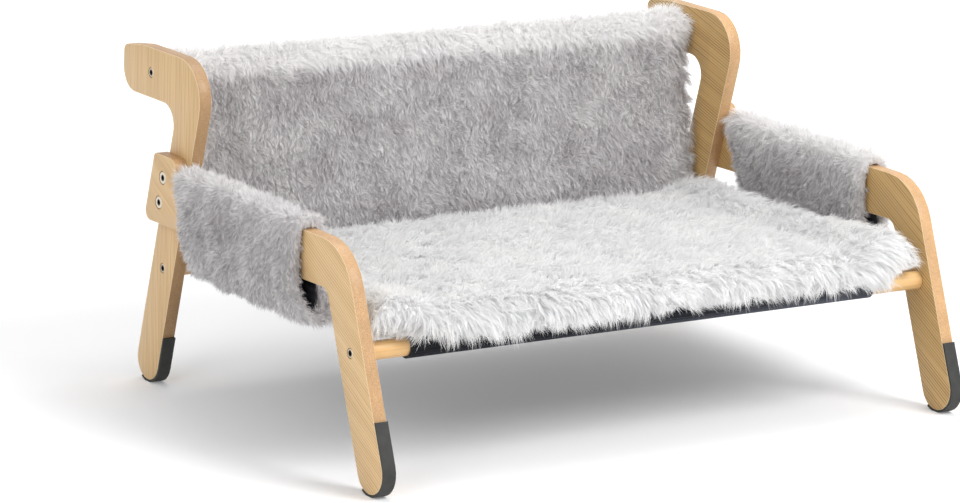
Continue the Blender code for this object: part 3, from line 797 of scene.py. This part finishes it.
def tufts_of(root, size, rng):
    """Nearest tuft centre of each root, as an index into the roots."""
    box = np.ptp(root, axis=0)
    area = 2 * (box[0] * box[1] + box[1] * box[2] + box[0] * box[2])
    count = min(len(root), max(1, int(area * 0.5 / size ** 2)))
    centres = rng.choice(len(root), count, replace=False)
    tree = KDTree(count)
    for i in centres:
        tree.insert(Vector(root[i]), int(i))
    tree.balance()
    return np.array([tree.find(Vector(p))[1] for p in root])


def grow_pile(base, search, style, flow, rng, share=None, crest=None):
    """Root, middle, tip, half width and tones of each strand on a piece's free faces."""
    root, out = scattered(base, style["density"], rng)
    free = np.array([search.ray_cast(Vector(p), Vector(d), style["near"])[0] is None
                     for p, d in zip(root, out)])
    root, out = root[free], out[free]
    total = len(root)
    length = style["length"] * rng.uniform(*length_spread, total)
    if share is not None:
        length *= share(root, out)
    comb = flow(root, out)
    comb = comb - out * (comb * out).sum(1)[:, None]
    ruffle = style["ruffle"]
    fine, coarse = tufts_of(root, style["tuft"], rng), tufts_of(root, style["lock"], rng)

    # The lower half stands up and leans, and the upper half curls over
    way = out * style["upright"] + comb * style["lean"]
    way += rng.normal(0, ruffle * strand_ruffle, (total, 3))
    way += rng.normal(0, ruffle, (total, 3))[fine]
    way += rng.normal(0, ruffle * lock_ruffle, (total, 3))[coarse]
    way += out * np.maximum(least_outward - (way * out).sum(1), 0)[:, None]
    way = unit(way)
    middle = root + way * (length * 0.5)[:, None]
    bent = unit(way + comb * style["curl"] + np.array([0, 0, -style["droop"]]))
    tip = middle + bent * (length * 0.5)[:, None]
    for tuft, gather in ((fine, style["gather"]), (coarse, style["lock_gather"])):
        pull = gather * rng.uniform(0.5, 1.0, total)[:, None]
        lift = (length / length[tuft])[:, None]
        there = root[tuft] + (middle - root)[tuft] * lift
        middle += (there - middle) * pull * middle_gather
        tip += (root[tuft] + (tip - root)[tuft] * lift - tip) * pull

    # Strands that would enter a neighbour are shortened, and the shortest are left out
    keep = np.ones(total, bool)
    shrink = np.ones(total)
    for i in range(total):
        run = Vector(tip[i] - root[i])
        far = run.length
        hit = search.ray_cast(Vector(root[i]), run.normalized(), far + 2 * strand_gap)
        if hit[0] is not None:
            shrink[i] = max(0.0, (hit[3] - strand_gap) / far)
            keep[i] = shrink[i] > least_strand
    middle = root + (middle - root) * shrink[:, None]
    tip = root + (tip - root) * shrink[:, None]
    across = unit(np.cross(tip - root, out + rng.normal(0, twist, (total, 3))))
    half = across * (style["width"] * rng.uniform(*width_spread, total) / 2)[:, None]
    shade = own_shade * rng.random(total) + tuft_shade * rng.random(total)[fine]
    # The painted highlight on strands at the crests
    bright = np.zeros(total) if crest is None else crest(root, out)
    return [x[keep] for x in (root, middle, tip, half, shade, bright)]


def strand_piece(name, strands, kind):
    """One mesh of tapered strands, each with a small square of its own in the bake map."""
    root, middle, tip, half, shade, bright = strands
    total = len(root)
    rows = [root - half, root + half, middle - half * middle_width,
            middle + half * middle_width, tip]
    places = np.stack(rows, 1).reshape(-1, 3)
    per = len(rows)
    own = np.arange(total)[:, None]
    loops = (own * per + np.array(strand_corners)).ravel()
    starts = (own * len(strand_corners) + np.array(strand_face_starts)).ravel()
    mesh = bpy.data.meshes.new(name)
    mesh.vertices.add(len(places))
    mesh.vertices.foreach_set("co", places.astype(np.float32).ravel())
    mesh.loops.add(len(loops))
    mesh.loops.foreach_set("vertex_index", loops.astype(np.int32))
    mesh.polygons.add(len(starts))
    mesh.polygons.foreach_set("loop_start", starts.astype(np.int32))
    mesh.update(calc_edges=True)
    set_values(mesh, "along", np.tile(strand_along, total))
    set_values(mesh, "shade", np.repeat(shade, per))
    set_values(mesh, "crest", np.repeat(bright, per))
    cells = int(np.ceil(np.sqrt(total)))
    cell = np.stack([np.arange(total) % cells, np.arange(total) // cells], 1)[:, None, :]
    spots = ((cell + np.array(strand_spots)[None]) / cells).reshape(-1, 2)
    layer = mesh.uv_layers.new(name="OFBake", do_init=False)
    layer.uv.foreach_set("vector", spots[loops].astype(np.float32).ravel())
    dress(add_object(name, mesh), kind)


def make_pile(name, base, search, style, flow, kind, seed, share=None, crest=None):
    """Grow a pile on a base piece and cut it from left to right into pieces of fair size.

    share(roots, normals) scales the strands and crest(roots, normals) brightens them with a
    painted highlight.
    """
    rng = np.random.default_rng(seed)
    strands = grow_pile(base, search, styles[style], flow, rng, share, crest)
    order = np.argsort(strands[0][:, 0])
    parts = int(np.ceil(len(order) / most_strands))
    for i, chosen in enumerate(np.array_split(order, parts)):
        strand_piece(f"{name}_{i + 1}", [x[chosen] for x in strands], kind)
    print(name, len(order), "strands in", parts, "pieces", flush=True)


def combed(direction, swirl, seed, sideways=0.0, ends=None):
    """A flow of the pile: one main direction, slow swirls, and outwards near the ends.

    sideways turns it outwards at the bed's sides. ends is the middle, the half length and
    the strength of the turn towards the front and rear ends.
    """
    direction = np.array(direction, float)

    def flow(root, out):
        way = np.repeat(direction[None], len(root), 0)
        for axis in range(3):
            way[:, axis] += swirl * even_noise(root, swirl_size, seed + axis)
        if sideways:
            way[:, 0] += sideways * (root[:, 0] / cover_half_width) ** 7
        if ends:
            middle, half, strength = ends
            share = (root[:, 1] - middle) / half
            way[:, 1] += strength * (0.35 * share + share ** 5)
        return way

    return flow


# Stitches
stitch_pitch = 0.0042
stitch_length = 0.003
stitch_thickness = 0.0004
stitch_corners = 6
farthest_cloth = 0.4

# Rings of a stitch: their places along its length, their heights and girths in thicknesses
stitch_rings = ((-0.5, -0.1, 0.5), (-0.3, 0.45, 1.0), (0.3, 0.45, 1.0), (0.5, -0.1, 0.5))

# Two rows beside each seam pocket, and one along each side hem
seat_seams_y = (-0.1554, -0.1594, 0.1366, 0.1406)
seat_seam_ends_x = (-0.244, 0.229)
seat_hems_x = (-0.2405, 0.2255)
seat_hem_ends_y = (-0.150, 0.132)
back_seams_z = (0.2580, 0.2620)
back_seam_ends_x = (-0.267, 0.267)
back_hems_x = (-0.264, 0.264)
back_hem_ends_z = (0.125, 0.252)


def seat_rows():
    """Rows of stitches on the seat canvas, looked for from below it."""
    below, up = 0.01, (0, 0, 1)
    left, right = seat_seam_ends_x
    front, rear = seat_hem_ends_y
    rows = [((left, y, below), (right, y, below), up) for y in seat_seams_y]
    return rows + [((x, front, below), (x, rear, below), up) for x in seat_hems_x]


def back_rows():
    """Rows of stitches on the back canvas, looked for from behind it."""
    behind, forward = 0.3, (0, -1, 0)
    left, right = back_seam_ends_x
    low, high = back_hem_ends_z
    rows = [((left, behind, z), (right, behind, z), forward) for z in back_seams_z]
    return rows + [((x, behind, low), (x, behind, high), forward) for x in back_hems_x]


def add_stitch(shape, place, way, out):
    """One stitch at a place on the cloth, along way, with the cloth's outer side at out."""
    side = way.cross(out).normalized()
    rings = []
    for share, height, girth in stitch_rings:
        middle = place + way * (stitch_length * share) + out * (stitch_thickness * height)
        ring = []
        for k in range(stitch_corners):
            turn = 2 * pi * k / stitch_corners
            ring.append(shape.verts.new(middle + (side * cos(turn) + out * sin(turn))
                                        * (stitch_thickness * girth)))
        rings.append(ring)
    for a, b in zip(rings, rings[1:]):
        for k in range(stitch_corners):
            following = (k + 1) % stitch_corners
            shape.faces.new((a[k], a[following], b[following], b[k]))
    shape.faces.new(rings[0][::-1])
    shape.faces.new(rings[-1])


def make_stitches(name, cloth, rows):
    """All the stitches of one cloth as one piece.

    Each row is its first point, its last point and the direction in which the cloth lies.
    """
    surface = search_tree(cloth.data)
    shape = bmesh.new()
    for first, last, towards in rows:
        first, last, towards = Vector(first), Vector(last), Vector(towards).normalized()
        way = last - first
        count = int(way.length / stitch_pitch)
        way.normalize()
        for i in range(count):
            start = first + way * (stitch_pitch * (i + 0.5))
            hit = surface.ray_cast(start, towards, farthest_cloth)
            if hit[0] is not None:
                add_stitch(shape, hit[0], way, -towards)
    bmesh.ops.recalc_face_normals(shape, faces=shape.faces)
    mesh = bpy.data.meshes.new(name)
    shape.to_mesh(mesh)
    shape.free()
    piece = add_object(name, mesh)
    dress(piece, "thread")
    return piece


# Shapes and pile lengths fitted to the photograph. Each step runs between two places in
# metres, or between two amounts by which a normal faces one way
def seat_sides(places, out):
    """The mat stands up at the arm sleeves, and its front corners bare the rod's ends."""
    x, y, z = places.T
    rise = np.where(x > 0, 0.018, 0.013)
    lift = rise * step(np.abs(x), 0.212, 0.262) * step(z, 0.119, 0.134)
    spread = -0.009 * step(-x, 0.235, 0.262)
    corner = step(np.abs(x), 0.232, 0.260) * step(-y, 0.145, 0.180)
    lift += np.where(x > 0, 0.006, 0.002) * corner * (1 - step(z, 0.122, 0.140))
    return places + np.stack([spread, 0.007 * corner, lift], 1)


def seat_length(root, out):
    """The pile hangs longer at the front edge, unevenly, and over the sides."""
    front = step(-out[:, 1], 0.3, 0.9)
    uneven = even_noise(root * np.array([1, 0, 0]), 0.035, 77)
    corner = step(np.abs(root[:, 0]), 0.232, 0.256) * step(-root[:, 1], 0.150, 0.175)
    hanging = front * (0.5 + 0.4 * uneven) * (1 - corner)
    at_sides = 0.6 * step(-out[:, 0], 0.4, 0.9) + 0.2 * step(out[:, 0], 0.4, 0.9)
    short = np.where(root[:, 0] > 0, 0.35, 0.25) * step(0.135 - root[:, 2], 0, 0.012)
    return (1 + hanging + at_sides) * (1 - short * corner)


def back_sides(places, out):
    """The cover reaches closer to the posts than its pad and is thicker there."""
    x, z = places[:, 0], places[:, 2]
    top = step(z, 0.262, 0.280)
    spread = np.sign(x) * (0.008 + 0.004 * top) * step(np.abs(x), 0.24, 0.266)
    thicker = -0.006 * step(np.abs(x), 0.225, 0.258) * np.maximum(-out[:, 1], 0)
    fuller = 0.011 * step(x, 0.16, 0.25) * np.maximum(-out[:, 1] * out[:, 2], 0)
    return (places + np.stack([spread, thicker, 0 * x], 1)
            + out * (fuller * step(z, 0.25, 0.27))[:, None])


def back_length(root, out):
    """The pile is longer where it bends over the top rod, and at the sides."""
    return (1 + 0.5 * step(root[:, 2], 0.262, 0.275)
            + 0.8 * step(np.abs(root[:, 0]), 0.250, 0.268))


def back_top_highlight(root, out):
    """A painted highlight makes the cover's top the brightest."""
    return 0.75 * step(root[:, 2], 0.268, 0.278)


def sleeve_top_highlight(root, out):
    """A painted highlight along the sleeves' tops, stronger on the right one."""
    return np.where(root[:, 0] > 0, 0.7, 0.3) * step(root[:, 2], 0.172, 0.210)


def canvas_right_end(places, out):
    """The photograph's seat canvas ends a little further from the right leg."""
    x = places[:, 0]
    return places - np.stack([0.015 * step(x, 0, 0.247), 0 * x, 0 * x], 1)


# Seat, back and sleeves
post_faces = (-0.2755, 0.2755)
folds = 4
fold_depth = 0.0032
board_outer_face = 0.300
shoulder_reach = 0.006
tuck_length = 0.05
tuck_depth = 0.008
hard_names = [name for name in nodes
              if "board" in name or name.endswith("_rod") or "pad" in name]


def make_seat_and_back():
    """The seat and the back: canvas with stitches, plush body and pile."""
    sleeve_names = ["arm_plush_" + side for side in sides]
    around_seat = search_around(hard_names + sleeve_names + ["seat_canvas"])
    around_back = search_around(hard_names + ["back_canvas"], post_faces)
    seat_base = make_body("seat_plush", "seat_plush_body", "pale_plush", bodies["seat"],
                          around_seat, seat_sides)
    back_base = make_body("back_plush", "back_plush_body", "grey_plush", bodies["back"],
                          around_back, back_sides, back_top_highlight)
    seat_cloth = make_cloth("seat_canvas", "seat_canvas_cloth", canvas_right_end)
    back_cloth = make_cloth("back_canvas", "back_canvas_cloth")
    seat_stitches = make_stitches("seat_canvas_stitches", seat_cloth, seat_rows())
    back_stitches = make_stitches("back_canvas_stitches", back_cloth, back_rows())
    make_pile("seat_pile", seat_base, around_seat, "seat",
              combed((0, -1.0, -0.7), 0.4, seed=11, sideways=0.8), "pale_plush", 1,
              share=seat_length)
    make_pile("back_pile", back_base, around_back, "back",
              combed((0, -0.5, -1.0), 0.7, seed=21, sideways=0.6), "grey_plush", 2,
              share=back_length, crest=back_top_highlight)


def make_sleeve(side, style, flow_seed, pile_seed):
    """One arm sleeve: its lining, its plush body and its pile."""
    low, high = (Vector(corner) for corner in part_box("arm_plush_" + side))
    middle, half = (low.y + high.y) / 2, (high.y - low.y) / 2
    outer = -1 if side == "left" else 1

    def drawn_back(places, out):
        """The sleeve reaches further towards the shoulder, and its folds are deeper."""
        share = np.maximum(0, (places[:, 1] - middle) / half)
        along = (places[:, 1] - low.y) / (high.y - low.y)
        free = step(high.z - places[:, 2], 0.01, 0.05)
        outside = places[:, 0] * outer > board_outer_face
        fold = -fold_depth * outer * outside * free * np.cos(2 * pi * folds * along)
        return places + np.stack([fold, shoulder_reach * share ** 2, 0 * fold], 1)

    def tucked(places, out):
        """The lining's front edge ends inside the plush."""
        nearer = np.maximum(0, low.y + tuck_length - places[:, 1]) / tuck_length
        back = tuck_depth * np.minimum(1, nearer * 3)
        return places + np.stack([0 * back, back, 0 * back], 1)

    def sleeve_length(root, out):
        """The pile is longer at both ends of the sleeve, on top and below."""
        return (1 + 0.5 * step(np.abs(root[:, 1] - middle) / half, 0.85, 1.0)
                + 0.3 * step(-out[:, 2], 0.3, 0.9) + 0.5 * step(out[:, 2], 0.3, 0.9))

    lining = make_cloth("arm_lining_" + side, "arm_lining_cloth_" + side, tucked)
    around = search_around(hard_names, pieces=[lining])
    base = make_body("arm_plush_" + side, "arm_plush_body_" + side, "grey_plush",
                     bodies["sleeve"], around, drawn_back, sleeve_top_highlight)
    make_pile("arm_pile_" + side, base, around, style,
              combed((0, 0, -1.0), 0.45, flow_seed, ends=(middle, half, 0.9)),
              "grey_plush", pile_seed, share=sleeve_length, crest=sleeve_top_highlight)


make_camera()
make_stage()
make_lights()
dress_frame()
make_seat_and_back()
make_sleeve("left", "sleeve", flow_seed=31, pile_seed=3)
make_sleeve("right", "ruffled", flow_seed=32, pile_seed=4)

bpy.context.scene.view_settings.view_transform = "Standard"
